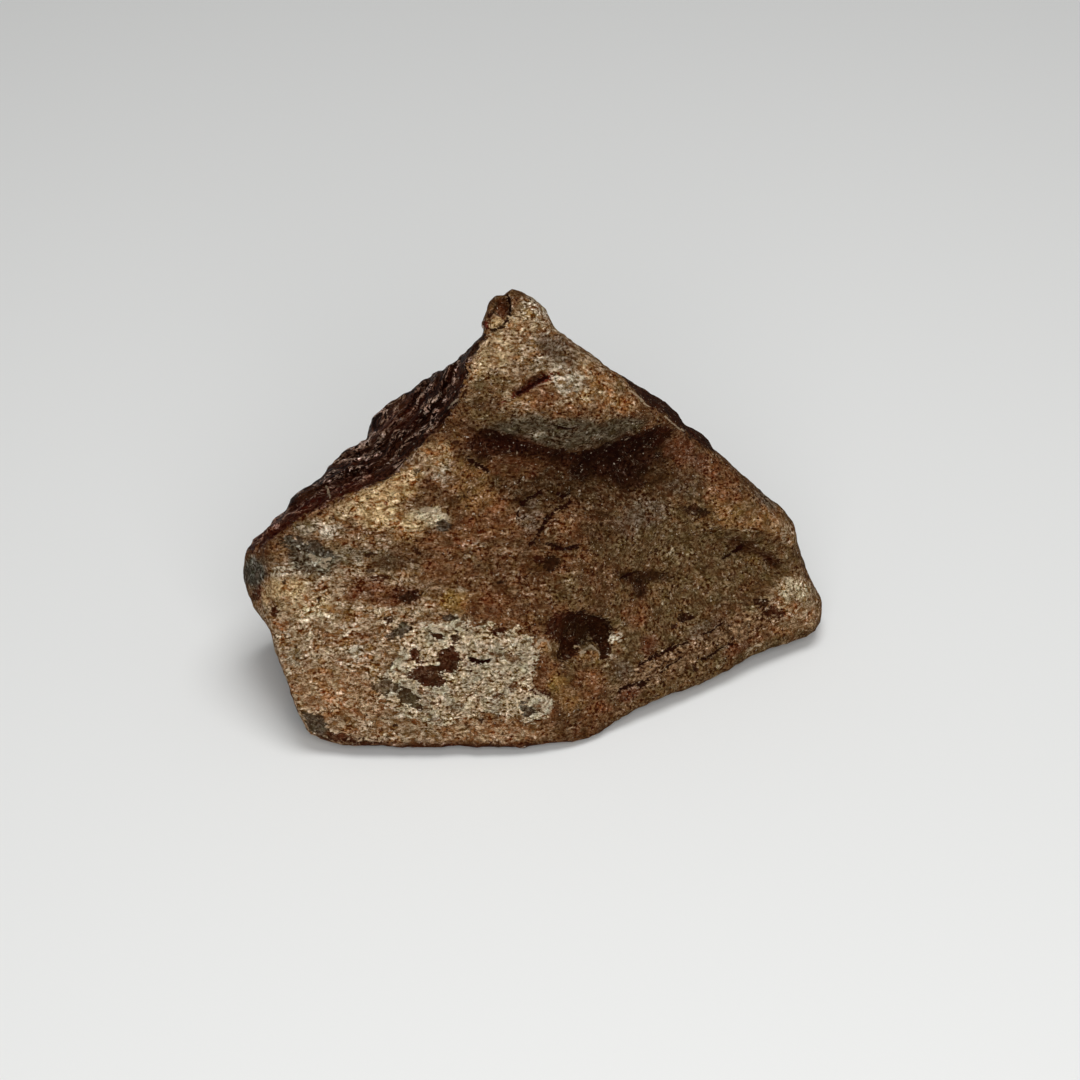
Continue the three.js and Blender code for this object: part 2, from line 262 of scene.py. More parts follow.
# ---------------------------------------------------------------- splitting and settling
def weld(mesh):
    points = np.empty(len(mesh.vertices) * 3)
    mesh.vertices.foreach_get("co", points)
    corners = np.empty(len(mesh.loops), int)
    mesh.loops.foreach_get("vertex_index", corners)
    points = points.reshape(-1, 3) / MM
    _, first, same = np.unique(np.round(points, 3), axis=0, return_index=True,
                               return_inverse=True)
    return points[first] + ORIGIN, same.ravel()[corners].reshape(-1, 3)


def edges_of(faces):
    """Every edge once, and which of them each side of each triangle is."""
    sides = np.concatenate([faces[:, [0, 1]], faces[:, [1, 2]], faces[:, [2, 0]]])
    return np.unique(np.sort(sides, axis=1), axis=0, return_inverse=True)


def split(points, faces):
    """Every triangle becomes four."""
    edges, which = edges_of(faces)
    ab, bc, ca = which.ravel().reshape(3, -1) + len(points)
    a, b, c = faces.T
    faces = np.concatenate([np.column_stack(t) for t in
                            ((a, ab, ca), (ab, b, bc), (ca, bc, c), (ab, bc, ca))])
    return np.vstack([points, points[edges].mean(axis=1)]), faces


def settle(points, faces, rounds):
    """Moves the points onto the skin, and evens them out along it."""
    a, b = edges_of(faces)[0].T
    count = np.bincount(np.concatenate([a, b]), minlength=len(points))[:, None]
    for _ in range(rounds):
        slope = slope_of(points)
        steep = np.maximum((slope**2).sum(axis=1, keepdims=True), 0.05)
        around = np.column_stack([np.bincount(a, points[b, k], len(points))
                                  + np.bincount(b, points[a, k], len(points))
                                  for k in range(3)])
        pull = around / count - points
        pull -= slope * (pull * slope).sum(axis=1, keepdims=True) / steep
        points = points + 0.5 * pull
        gap = outside(points)[:, None] / steep
        points = points - slope * np.clip(gap, -0.4, 0.4)
    points[:, 2] = np.maximum(points[:, 2], 0)
    return points


def facing_of(points, faces):
    a, b, c = points[faces].transpose(1, 0, 2)
    across = np.cross(b - a, c - a)
    facing = np.zeros_like(points)
    for corner in faces.T:
        for k in range(3):
            facing[:, k] += np.bincount(corner, across[:, k], len(points))
    return facing / np.linalg.norm(facing, axis=1, keepdims=True)


def cloud(points, size, shift=0.0, octaves=3):
    """Fractal noise of that size in millimetres, from about -1 to 1."""
    return np.array([noise.fractal(Vector(p), 1.0, 2.0, octaves) for p in points / size + shift])


# ---------------------------------------------------------------- colours of the weathered face
# Each finish of the crust: the colour of its ground, that of the deposit in flakes over it, how
# much of the ground that covers, and how strongly grains and gaps stand out.
FINISHES = {
    "cream": ((143, 96, 48), (194, 159, 108), 0.60, 0.9),
    "pale": ((140, 108, 66), (202, 180, 138), 0.62, 0.9),
    "bone": ((130, 102, 70), (194, 174, 142), 0.54, 0.9),
    "sand": ((141, 100, 58), (186, 155, 110), 0.56, 0.9),
    "tan": ((122, 86, 50), (180, 152, 116), 0.48, 0.9),
    "clay": ((130, 88, 52), (182, 148, 108), 0.46, 0.8),
    "grey": ((102, 84, 58), (168, 150, 120), 0.46, 0.9),
    "moss": ((74, 62, 45), (102, 90, 70), 0.50, 0.8),
    "mauve": ((88, 66, 46), (132, 114, 94), 0.42, 0.9),
    "orange": ((125, 84, 45), (180, 147, 106), 0.36, 0.8),
    "ochre": ((116, 82, 44), (168, 134, 98), 0.34, 0.8),
    "gold": ((122, 90, 44), (164, 128, 74), 0.32, 0.9),
    "olive": ((90, 68, 40), (140, 117, 82), 0.34, 0.9),
    "rust": ((104, 66, 37), (156, 118, 84), 0.34, 0.9),
    "umber": ((88, 59, 34), (142, 110, 78), 0.32, 0.9),
    "brick": ((93, 55, 32), (147, 109, 84), 0.34, 0.9),
    "slate": ((68, 63, 54), (160, 150, 132), 0.32, 0.9),
    "maroon": ((55, 27, 17), (110, 68, 50), 0.24, 0.9),
    "black": ((41, 24, 17), (88, 64, 54), 0.24, 0.9),
    "shadow": ((44, 28, 19), (88, 64, 46), 0.22, 0.8),
    "pit": ((34, 13, 9), (84, 44, 30), 0.30, 1.0),
    "chalk": ((56, 50, 38), (158, 148, 122), 0.34, 1.0),
    "veined": ((88, 60, 36), (160, 124, 88), 0.44, 1.1),
    "walnut": ((69, 50, 31), (116, 92, 66), 0.30, 0.8),
    "russet": ((98, 62, 36), (142, 104, 70), 0.30, 0.9),
    "slit": ((88, 34, 25), (128, 72, 52), 0.2, 0.9),
    # On the flank's three finishes below, the second colour is that of the ridge crests: lighter
    # crust, and a painted highlight on the glossy ridges.
    "bark": ((26, 10, 6), (196, 160, 134), 0.50, 1.0),
    "oxblood": ((58, 20, 10), (172, 124, 98), 0.50, 1.0),
    "brown bark": ((64, 37, 20), (194, 156, 124), 0.50, 1.0),
}
# How brightly the stone is lit: a colour is seen at this share of its own.
LIT = np.array([0.89, 0.89, 0.86])

# Oval patches, from the broad to the small: across, up, half length, half width, turn,
# strength, colour.
PATCHES = [
    # broad grounds
    (-16, 9, 13, 12, 0, 1, "tan"),
    (14, 14, 14, 12, 0, 0.8, "olive"),
    (-1, 19, 11, 8, 0, 0.9, "umber"),
    (3, 27, 12, 4, 0, 0.9, "walnut"),
    (1, 37, 9, 6, 0, 0.8, "tan"),
    # knob
    (0, 42.4, 1.4, 1.7, 0, 0.85, "bone"),
    (-1.1, 41.2, 1.7, 1.2, 0, 0.7, "sand"),
    (-3.5, 41.3, 0.9, 0.7, 0, 1, "cream"),
    (-4.6, 41, 0.3, 0.4, 0, 0.8, "brick"),
    # above the brow
    (-3.6, 38.6, 2.1, 1.7, 0, 0.8, "sand"),
    (-5.2, 37, 1, 1, 0, 0.8, "sand"),
    (2.3, 38.7, 2.2, 1.3, -30, 0.9, "mauve"),
    (1, 37.2, 1.4, 0.7, 0, 0.7, "grey"),
    (-4.1, 35.3, 2, 1.3, 0, 0.9, "olive"),
    (-4.6, 33.3, 1.8, 0.8, 0, 0.8, "walnut"),
    (1, 34.3, 2.4, 1.1, 15, 0.9, "rust"),
    (-0.6, 33.9, 0.8, 0.5, 0, 0.7, "orange"),
    (-0.4, 35.2, 2, 0.5, 33, 0.8, "maroon"),
    (3.3, 35.7, 1.7, 1.3, -20, 0.95, "bone"),
    (5, 34.1, 0.8, 0.7, 0, 0.7, "sand"),
    (6.6, 35.2, 1.6, 1.4, -35, 0.8, "orange"),
    (8.6, 33.5, 1.9, 0.9, -10, 0.8, "orange"),
    (5.2, 37, 0.7, 0.6, 0, 0.7, "sand"),
    (3.2, 32.7, 4, 0.45, 0, 0.7, "umber"),
    # under the crest
    (2, 30.8, 6.8, 1.5, -3, 0.95, "moss"),
    (8.2, 31.1, 2.8, 0.9, 14, 0.9, "moss"),
    (-4, 32.2, 2.6, 0.6, 0, 0.8, "olive"),
    (0.2, 30.6, 1.2, 0.3, -5, 0.6, "grey"),
    (-7.2, 32.4, 1, 1.1, 0, 0.7, "umber"),
    # hollow beneath the lip: rust and brown crust, with maroon and black painted as the shade of the
    # lip's overhang
    (-3.2, 29.4, 3.6, 1.1, 0, 0.9, "maroon"),
    (-1.5, 27.3, 3.6, 1.1, 0, 0.8, "russet"),
    (3, 26.6, 2.6, 1.1, 0, 0.8, "walnut"),
    (6.2, 27.4, 3, 1.3, 10, 0.9, "black"),
    (9.6, 28.4, 3.2, 2, 20, 0.9, "black"),
    (9, 26.2, 2.2, 1.1, 0, 0.8, "black"),
    # left shoulder
    (-6.5, 26.2, 2.4, 2, 0, 0.8, "ochre"),
    (-9.5, 28.4, 1.7, 1.4, 30, 0.8, "sand"),
    (-8.8, 26.4, 1, 0.8, 0, 0.6, "bone"),
    (-11.4, 27.4, 1.5, 1.6, 0, 0.7, "tan"),
    (-13.4, 25.4, 2.6, 1.3, 30, 0.9, "cream"),
    (-15.4, 24, 3.4, 1.4, 15, 0.95, "cream"),
    (-14, 22.2, 3.2, 1.2, 0, 0.9, "cream"),
    (-18.6, 22.9, 2.4, 1, 20, 0.85, "sand"),
    (-20, 21.2, 1.8, 0.8, 0, 0.9, "bone"),
    (-22.2, 21.4, 1.2, 0.7, 20, 0.8, "grey"),
    (-10.2, 22.6, 2.2, 0.9, -12, 0.9, "pale"),
    (-11.6, 21.3, 1.3, 0.7, 0, 0.8, "cream"),
    (-15.4, 20.4, 1.5, 0.4, 0, 0.8, "tan"),
    (-13.2, 20.7, 0.9, 0.4, 0, 0.8, "orange"),
    # middle of the hollow
    (-5.4, 24.2, 2, 1.2, 0, 0.8, "ochre"),
    (-5.4, 21.5, 2.8, 1.5, 10, 0.9, "rust"),
    (-2.8, 22.2, 1.8, 2, 0, 0.7, "rust"),
    (-8.6, 19.9, 2.2, 0.8, 0, 0.8, "rust"),
    (-5.3, 19.6, 1, 0.5, 0, 0.5, "tan"),
    (-5.8, 18.1, 1.1, 0.4, -40, 0.7, "bone"),
    (-2.5, 19.2, 1.3, 0.35, 0, 0.6, "tan"),
    (-3, 17.4, 4.2, 1.2, 0, 0.7, "umber"),
    (-9.2, 17.4, 1.8, 1.2, 0, 0.8, "rust"),
    (-6.9, 15.6, 0.7, 0.3, -30, 0.6, "bone"),
    (-7.6, 14.2, 1.8, 1.1, 0, 0.9, "gold"),
    (-4.4, 13.9, 2.6, 1.5, 0, 0.9, "russet"),
    (-2.4, 12.6, 2, 0.8, 0, 0.8, "rust"),
    (0.6, 14.2, 2.6, 1.6, 0, 0.7, "umber"),
    (3.6, 15.3, 2.2, 1.5, 0, 0.7, "olive"),
    (3.2, 21.9, 1.5, 1.9, 20, 0.8, "umber"),
    (3.3, 21.6, 1.1, 1.1, 0, 0.3, "clay"),
    (6.6, 21, 1.2, 2.4, 0, 0.7, "walnut"),
    # basin on the right
    (11, 22.8, 2.2, 1.5, 20, 0.8, "mauve"),
    (9, 21.4, 1.5, 1.1, 0, 0.6, "mauve"),
    (-0.4, 22.4, 1.1, 1.7, -15, 0.8, "mauve"),
    (10.6, 16.7, 2.9, 0.6, 0, 0.75, "shadow"),
    (10.4, 15.5, 0.7, 1.1, 0, 0.9, "shadow"),
    (20.4, 19.7, 1.4, 0.6, -10, 0.5, "maroon"),
    (22.8, 18.4, 1.6, 0.4, -30, 0.7, "maroon"),
    (8.2, 19, 2.6, 1.4, 0, 0.7, "olive"),
    (14, 20, 3.2, 2.4, 0, 0.6, "olive"),
    (14.2, 28.7, 1.7, 1.3, -30, 0.9, "brick"),
    (16.6, 27.4, 1.6, 0.9, -40, 0.9, "brick"),
    (11, 26.3, 0.9, 0.5, 0, 0.6, "walnut"),
    (18.6, 26.5, 1.6, 0.7, -42, 0.8, "rust"),
    (14.6, 25.4, 1.7, 0.8, 0, 0.7, "mauve"),
    (18.6, 24.5, 2.6, 1.2, -20, 0.8, "rust"),
    (19.8, 22.6, 3, 1.4, -10, 0.9, "ochre"),
    (23.2, 22, 1.7, 1.2, -40, 0.9, "orange"),
    (22.4, 24, 1.3, 0.5, -40, 0.8, "mauve"),
    (24.8, 20.9, 0.7, 1.1, 0, 0.9, "tan"),
    (21.2, 18.4, 0.8, 0.35, 0, 0.7, "gold"),
    (22.4, 16.7, 1.1, 0.5, 0, 0.6, "olive"),
    (25.2, 14.3, 2.6, 2.3, 0, 0.9, "tan"),
    (25.3, 15.3, 1.6, 1.1, 0, 0.7, "pale"),
    (24.6, 13.6, 1.1, 0.7, 0, 0.7, "sand"),
    (26, 12.8, 2.2, 1, 0, 0.8, "clay"),
    (21, 15.2, 2, 0.9, 0, 0.6, "umber"),
    (18.5, 13, 2, 1.2, 0, 0.8, "umber"),
    (16.8, 11.4, 2, 1, 20, 0.7, "mauve"),
    (21.6, 11, 2.6, 0.8, 14, 0.8, "rust"),
    (24.6, 11.4, 1.6, 0.6, 10, 0.8, "orange"),
    (19.4, 9.6, 1.3, 0.6, 28, 0.8, "brick"),
    # around and below the pit
    (10, 13, 1.3, 1.6, 0, 0.9, "rust"),
    (11.3, 10, 1.1, 1.3, 0, 0.8, "brick"),
    (8.1, 10.7, 0.6, 0.9, -10, 0.9, "bone"),
    (7.7, 9, 0.6, 0.5, 0, 0.7, "bone"),
    (5.5, 8.8, 1, 0.5, 10, 0.8, "ochre"),
    (1, 9.7, 0.8, 0.7, 0, 0.9, "orange"),
    (1, 7.4, 1.4, 1.7, 0, 0.9, "rust"),
    (2.2, 6.3, 1, 0.9, 0, 0.9, "gold"),
    (3.6, 4.9, 1.7, 1.2, 0, 0.9, "ochre"),
    (5.6, 6.3, 1.9, 1.5, 0, 0.8, "rust"),
    (6.2, 3.4, 1.8, 1.2, 30, 0.8, "rust"),
    (13.2, 8.3, 4.6, 1.5, 22, 0.8, "veined"),
    (20, 11.6, 4, 1.3, 20, 0.7, "veined"),
    (9.8, 6.2, 2.6, 1.4, 25, 0.7, "veined"),
    (9.3, 5.3, 1.3, 0.7, 25, 0.9, "brick"),
    (8.6, 7.4, 1.2, 0.8, 0, 0.7, "mauve"),
    (2, 3.1, 0.5, 0.9, 0, 0.8, "rust"),
    # nose and left side
    (-27.2, 17, 1.1, 1.5, 0, 1, "slate"),
    (-26.9, 19.6, 1.1, 0.8, 0, 0.7, "brick"),
    (-27, 15, 0.6, 0.6, 0, 0.8, "maroon"),
    (-24.4, 17, 1.5, 0.9, 0, 0.8, "bone"),
    (-19.4, 19.3, 1, 0.7, 0, 0.9, "olive"),
    (-17.8, 18.6, 1.8, 0.8, 0, 0.8, "grey"),
    (-15, 18.9, 1.6, 0.4, 0, 0.6, "grey"),
    (-13.6, 18, 2.4, 0.8, 0, 0.8, "walnut"),
    (-12, 19.2, 2, 0.7, 0, 0.7, "umber"),
    (-21.6, 18.3, 2.6, 1.6, -15, 0.9, "chalk"),
    (-24, 15.5, 2.2, 1.1, 0, 0.8, "cream"),
    (-22, 13.8, 2.4, 1.1, 0, 0.8, "sand"),
    (-21.4, 12.9, 1.3, 0.6, 0, 0.7, "pale"),
    (-26, 14.5, 0.4, 0.8, 0, 0.8, "cream"),
    (-24.6, 12, 0.8, 0.6, 0, 0.7, "clay"),
    (-17.6, 15, 1, 0.8, 0, 0.7, "russet"),
    (-15.2, 15.2, 3, 1.2, -8, 0.85, "brick"),
    (-12.4, 14.8, 1.6, 0.9, 0, 0.7, "maroon"),
    (-16.6, 10.8, 1.1, 0.4, 0, 0.7, "rust"),
    (-17.3, 9.3, 0.9, 0.8, 0, 0.9, "bone"),
    (-23.4, 8.6, 0.8, 1.1, 0, 0.7, "grey"),
    (-20, 5.7, 3.6, 2.2, 0, 0.9, "clay"),
    (-16.6, 4.4, 3.2, 1.9, 0, 0.8, "clay"),
    (-20.6, 6.6, 2.2, 0.9, -20, 0.5, "orange"),
    (-18.4, 2.6, 2.2, 0.6, -5, 0.8, "tan"),
    (-13, 1.2, 1.3, 0.7, 0, 0.8, "tan"),
    (-4, 1.6, 5.6, 1.2, 0, 0.9, "clay"),
]

# The same for the varnished flank.
FLANK_PATCHES = [
    (-20.5, 23.6, 6, 1.3, 28, 0.95, "oxblood"),
    (-26, 20.6, 2.8, 1, 32, 0.95, "oxblood"),
    (-12.6, 32.2, 2.6, 1, 36, 0.7, "oxblood"),
    (-13.2, 33.4, 1.3, 0.8, 30, 0.9, "brown bark"),
    (-22, 24.8, 1.2, 0.5, 30, 0.8, "brown bark"),
    (-9.5, 30.5, 1.4, 0.5, 40, 0.7, "brown bark"),
    (-14.6, 27.5, 1.6, 0.6, 35, 0.6, "brown bark"),
    (-7.4, 36, 0.8, 1.8, 25, 0.5, "oxblood"),
]

# Thin lines: half width, then the points.
DARK_LINES = [
    (0.14, [(-2.75, 44.2), (-2.45, 43), (-2.45, 41.9), (-3.1, 40.9), (-4.3, 40.5)]),
    (0.14, [(-1.7, 34.35), (-0.6, 35.05), (0.7, 35.8), (1.5, 36.1)]),
    (0.10, [(2.2, 31.1), (3, 31), (3.8, 31.1)]),
    (0.22, [(-6.7, 28.2), (-5.4, 27.5), (-4.3, 26.6)]),
    (0.15, [(-1.3, 23.5), (-0.8, 24.1), (0, 24.5), (0.9, 24.9)]),
    (0.12, [(2.2, 24.8), (2.8, 24.4), (3.5, 24.7)]),
    (0.16, [(3.6, 24), (2.8, 23.5), (2.1, 23), (1.3, 22.3)]),
    (0.27, [(1.6, 22.6), (1.2, 22.1), (0.7, 21.3), (0.3, 20.5)]),
    (0.15, [(0.4, 20.7), (0, 20.1), (-0.6, 19.6)]),
    (0.18, [(1, 19.9), (2.1, 19.7), (2.9, 19.3), (3.9, 19.5), (4.5, 19.6)]),
    (0.08, [(8.2, 16.2), (9.2, 16.8), (10, 17.1)]),
    (0.10, [(-6.4, 8.8), (-5.4, 8.4), (-4.5, 8.5), (-4, 8.8)]),
    (0.09, [(-1.7, 22), (-1.5, 22.8), (-1.2, 23.4)]),
    (0.14, [(10.2, 8), (11.8, 8.9), (13.4, 9.6), (15.2, 10.4)]),
    (0.09, [(12.2, 7.3), (13.6, 8.2), (14.5, 8.9)]),
    (0.18, [(8.2, 5.4), (9.4, 6.1), (10.6, 6.1), (11.4, 6.7)]),
    (0.08, [(16.3, 10.9), (17.4, 11.4), (18.4, 12.3)]),
    (0.08, [(16.2, 8.4), (17.6, 9.2), (18.6, 9.9), (19.6, 10.2)]),
    (0.12, [(18.2, 18.4), (19.4, 19), (20.6, 19.7)]),
]
LIGHT_LINES = [
    (0.11, [(4.3, 9), (4.9, 9.6), (5.7, 10), (6.2, 9.3), (6.4, 8.9)]),
    (0.11, [(0, 9.7), (0.8, 10.6), (1.4, 10.3), (1.7, 9.4)]),
    (0.12, [(0, 5.7), (0.7, 5.2), (1.4, 4.7), (1.7, 3.9), (1.3, 3.2)]),
    (0.12, [(20.5, 9.3), (21.4, 9.9), (22.2, 10.1)]),
    (0.13, [(-21.9, 18.9), (-21, 18.4), (-19.6, 18.3)]),
    (0.13, [(-21.6, 18.1), (-20.8, 17.9), (-20.1, 17.4)]),
    (0.16, [(-11.3, 23.1), (-10, 23.3), (-9, 22.7), (-8.1, 22.2)]),
    # these two along the right rim are painted highlights on its dark ridge
    (0.06, [(9.2, 34.7), (10.2, 34), (11.4, 33.1)]),
    (0.06, [(12.6, 32.3), (13.6, 31.5), (14.6, 30.6)]),
    (0.07, [(1.5, 21.4), (1.2, 20.8), (1.6, 20.4)]),
    (0.09, [(-8.6, 33), (-8, 33.6), (-7.3, 34)]),
    (0.09, [(-20.2, 25.6), (-20, 24.8), (-19.8, 24.2)]),
]

# The lime crust, clockwise, and the dark islands of older crust within it.
LIME_CRUST = [
    (-10, 12.3), (-8.8, 12), (-7.5, 12.5), (-6.2, 12.1), (-5, 12), (-4.4, 12.2),
    (-3.9, 11), (-3, 10.7), (-2.3, 11.6), (-1.2, 11.4), (-0.3, 10.6), (0, 9.8),
    (0, 8.5), (-0.1, 7.3), (0, 5.7), (0.7, 5.2), (1.4, 4.8), (1.7, 3.9), (1.3, 3.2),
    (0.5, 2.8), (-0.5, 2.5), (-2, 2.9), (-4, 3.3), (-6, 2.8), (-8, 2.4), (-10, 2.6),
    (-11.5, 3), (-13, 3.2), (-14.5, 4.2), (-15.5, 5.5), (-14.8, 7), (-13.6, 8.2),
    (-13, 9.5), (-12.3, 10.6), (-11.2, 11.6), (-10, 12.3),
]
# across, up, half length, half width, turn, colour
ISLANDS = [
    (4.7, 12.4, 2, 0.8, -6, "pit"),
    (2.6, 11.5, 1.3, 1.2, 0, "maroon"),
    (4.7, 11.2, 1.7, 0.9, 0, "shadow"),
    (6.6, 11.4, 1.1, 1.4, 10, "pit"),
    (3.4, 9.7, 0.8, 1.4, -25, "pit"),
    (6.8, 9.6, 0.55, 1.1, 0, "pit"),
    (2.6, 12.4, 1.2, 0.7, 20, "maroon"),
    (-3.15, 42.7, 0.5, 0.75, 10, "brick"),
    (14.8, 12.7, 0.7, 0.5, 20, "pit"),
    (-4.6, 41.1, 0.3, 0.35, 0, "slit"),
    (-0.2, 35.15, 2.1, 0.36, 28, "slit"),
    (12.4, 30.4, 1.2, 0.8, 20, "maroon"),
    (-8.7, 21.6, 0.75, 0.7, 0, "slate"),
    (-3.3, 16.1, 0.45, 0.2, 0, "shadow"),
    (1.7, 18, 0.9, 0.8, 0, "shadow"),
    (0.5, 18.3, 0.5, 0.4, 0, "maroon"),
    (15.8, 23.1, 1.1, 0.5, -15, "shadow"),
    (23.2, 13.2, 1, 0.5, 0, "maroon"),
    (22, 14.2, 0.8, 0.35, 0, "shadow"),
    (0.6, 5.4, 1, 0.3, -15, "maroon"),
    (-23.4, 20, 1.3, 0.6, -10, "slate"),
    (-21.4, 19.5, 1.3, 0.6, -20, "slate"),
    (-20, 18.6, 0.8, 0.45, -30, "slate"),
    (-25.2, 13.3, 0.45, 0.5, 0, "maroon"),
    (-11.9, 14.7, 0.9, 0.6, 0, "shadow"),
    (-15.2, 16.5, 0.9, 0.35, 0, "maroon"),
    (-14.1, 12.4, 0.5, 0.35, 0, "shadow"),
    (-13, 11.3, 1.3, 0.6, 28, "slate"),
    (-21.2, 2.3, 1.6, 0.8, -45, "slate"),
    (-19.4, 1.1, 1.7, 0.6, -10, "maroon"),
    (-16.2, 0.6, 1.8, 0.4, 0, "maroon"),
    (-8.2, 8.5, 1.3, 1, 70, "maroon"),
    (-10.5, 7.2, 1.7, 1, -10, "maroon"),
    (-9.3, 6.3, 0.8, 0.5, 0, "maroon"),
    (-11.6, 9.2, 0.6, 0.45, -70, "maroon"),
    (-7.6, 10.6, 0.6, 0.45, 80, "shadow"),
    (-9.4, 10.9, 0.7, 0.3, -20, "maroon"),
    (-14.4, 6, 1.5, 0.7, -5, "moss"),
    (-12.2, 4.9, 1.4, 0.7, -38, "moss"),
    (-11.1, 3.8, 0.35, 0.3, 0, "shadow"),
    (-0.8, 3.8, 1, 0.42, -42, "slate"),
    (-3.4, 11.4, 0.6, 0.35, 10, "maroon"),
    (-8, 12.7, 0.8, 0.3, 0, "slate"),
    (-3.7, 5, 0.6, 0.25, 20, "umber"),
    (-1.8, 6, 0.6, 0.15, 10, "umber"),
    (-5.5, 8.5, 1, 0.2, -14, "maroon"),
    (-4.5, 8.5, 0.4, 0.2, 15, "maroon"),
    (-6.1, 7.6, 0.35, 0.14, 80, "maroon"),
    (-6.6, 1.9, 0.5, 0.25, 80, "umber"),
]

# Small pits, and lumps, whose depth is negative.
# across, up, half length, half width, turn, depth
PITS = [
    (4.6, 11.6, 2.5, 1.5, 0, 0.8), (6.4, 10.8, 1.1, 1.7, 0, 0.5), (3.3, 9.8, 0.7, 1.2, -25, 0.4),
    (5.2, 9.2, 0.9, 0.5, 0, -0.3), (1.7, 18, 0.9, 0.8, 0, 0.4), (-8.6, 21.5, 0.8, 0.8, 0, 0.35),
    (-3.15, 42.6, 0.6, 0.8, 10, 0.55), (20.4, 19.6, 1.6, 0.5, -10, 0.3),
    (22.9, 18.2, 1.5, 0.4, -25, 0.3), (14.8, 12.7, 0.7, 0.5, 20, 0.3),
    (10.5, 16.2, 1.8, 0.8, 0, 0.3), (6.2, 21, 0.9, 1.9, 0, 0.2),
    (-3.5, 41.3, 0.8, 0.6, 0, -0.35), (-4.6, 41.1, 0.3, 0.3, 0, -0.25),
    (-0.25, 35.2, 1.9, 0.35, 26, 0.35),
]
# Steps down on the left of a line: the line, how far the raised side reaches, how high.
LEDGES = [
    ([(-0.7, 19.3), (0.4, 20.8), (0.9, 22.1), (1.8, 23), (2.7, 24)], 2.6, 0.35),
    ([(-11.4, 21.4), (-11.6, 22.6), (-10, 23.4), (-8.8, 22.9), (-7.9, 22)], 1.4, 0.25),
    ([(4, 15.6), (4.5, 16.4), (5.4, 17.1)], 1.5, 0.2),
    ([(0.1, 9.9), (0.8, 10.6), (1.5, 9.7)], 0.9, 0.25),
    ([(5, 9.3), (5.9, 10), (6.4, 9.2)], 0.9, 0.25),
]


def linear(rgb):
    c = np.array(rgb, float) / 255
    return np.where(c <= 0.04045, c / 12.92, ((c + 0.055) / 1.055) ** 2.4)


FINISH = {name: np.concatenate([linear(ground) / LIT, linear(deposit) / LIT, [cover, mottle]])
          for name, (ground, deposit, cover, mottle) in FINISHES.items()}


class Coat:
    """The finish of every point: ground, deposit, cover and mottle, in eight columns."""

    def __init__(self, count, name):
        self.values = np.tile(FINISH[name], (count, 1))

    def add(self, name, share):
        self.values += (FINISH[name] - self.values) * np.clip(share, 0, 1)[:, None]

    def add_ovals(self, patches, u, v):
        for *oval, share, name in patches:
            reach = np.sqrt(bump_at(u, v, *oval))
            self.add(name, share * (1 - smoothstep(reach, 0.65, 1.3)))

    def blend(self, other, share):
        self.values += (other.values - self.values) * share[:, None]


# ---------------------------------------------------------------- building the stone
SETTLING_ROUNDS = (3, 5)
WANDER = 0.45  # how far edges stray, in millimetres
ROUND_THE_BACK = (2.8, 4.8)  # beyond the flank's edge, where its ridges give way to knobbles
RIDGE_HEIGHT = 0.36
LIME_THICKNESS = 0.14
CRACK_DEPTH = 0.25
BURIED = 3  # how far a field that is only on the face is pushed under behind it
BUMP_HEIGHT = 0.2 * MM


def far_side(points, medium, broad):
    """The finish of the far side, which carries more of the dark crust."""
    coat = Coat(len(points), "umber")
    coat.add("rust", smoothstep(broad, -0.1, 0.5))
    coat.add("tan", 0.8 * smoothstep(medium + 0.5 * broad, 0.25, 0.7))
    coat.add("maroon", smoothstep(-broad + 0.4 * medium, 0.0, 0.4))
    coat.add("ochre", 0.7 * smoothstep(cloud(points, 5, 90.0), 0.15, 0.5))
    return coat


def mesh_of(points, faces, fields, colours):
    mesh = bpy.data.meshes.new("weathered_stone")
    mesh.vertices.add(len(points))
    mesh.vertices.foreach_set("co", ((points - ORIGIN) * MM).ravel())
    mesh.loops.add(faces.size)
    mesh.loops.foreach_set("vertex_index", faces.ravel().astype(np.int32))
    mesh.polygons.add(len(faces))
    mesh.polygons.foreach_set("loop_start", np.arange(0, faces.size, 3, dtype=np.int32))
    mesh.update(calc_edges=True)
    mesh.validate()
    mesh.shade_smooth()
    for name, field in fields.items():
        mesh.attributes.new(name, "FLOAT", "POINT").data.foreach_set("value", field)
    for name, tones in colours.items():
        four = np.column_stack([tones, np.ones(len(points))])
        mesh.attributes.new(name, "FLOAT_COLOR", "POINT").data.foreach_set("color", four.ravel())
    return mesh


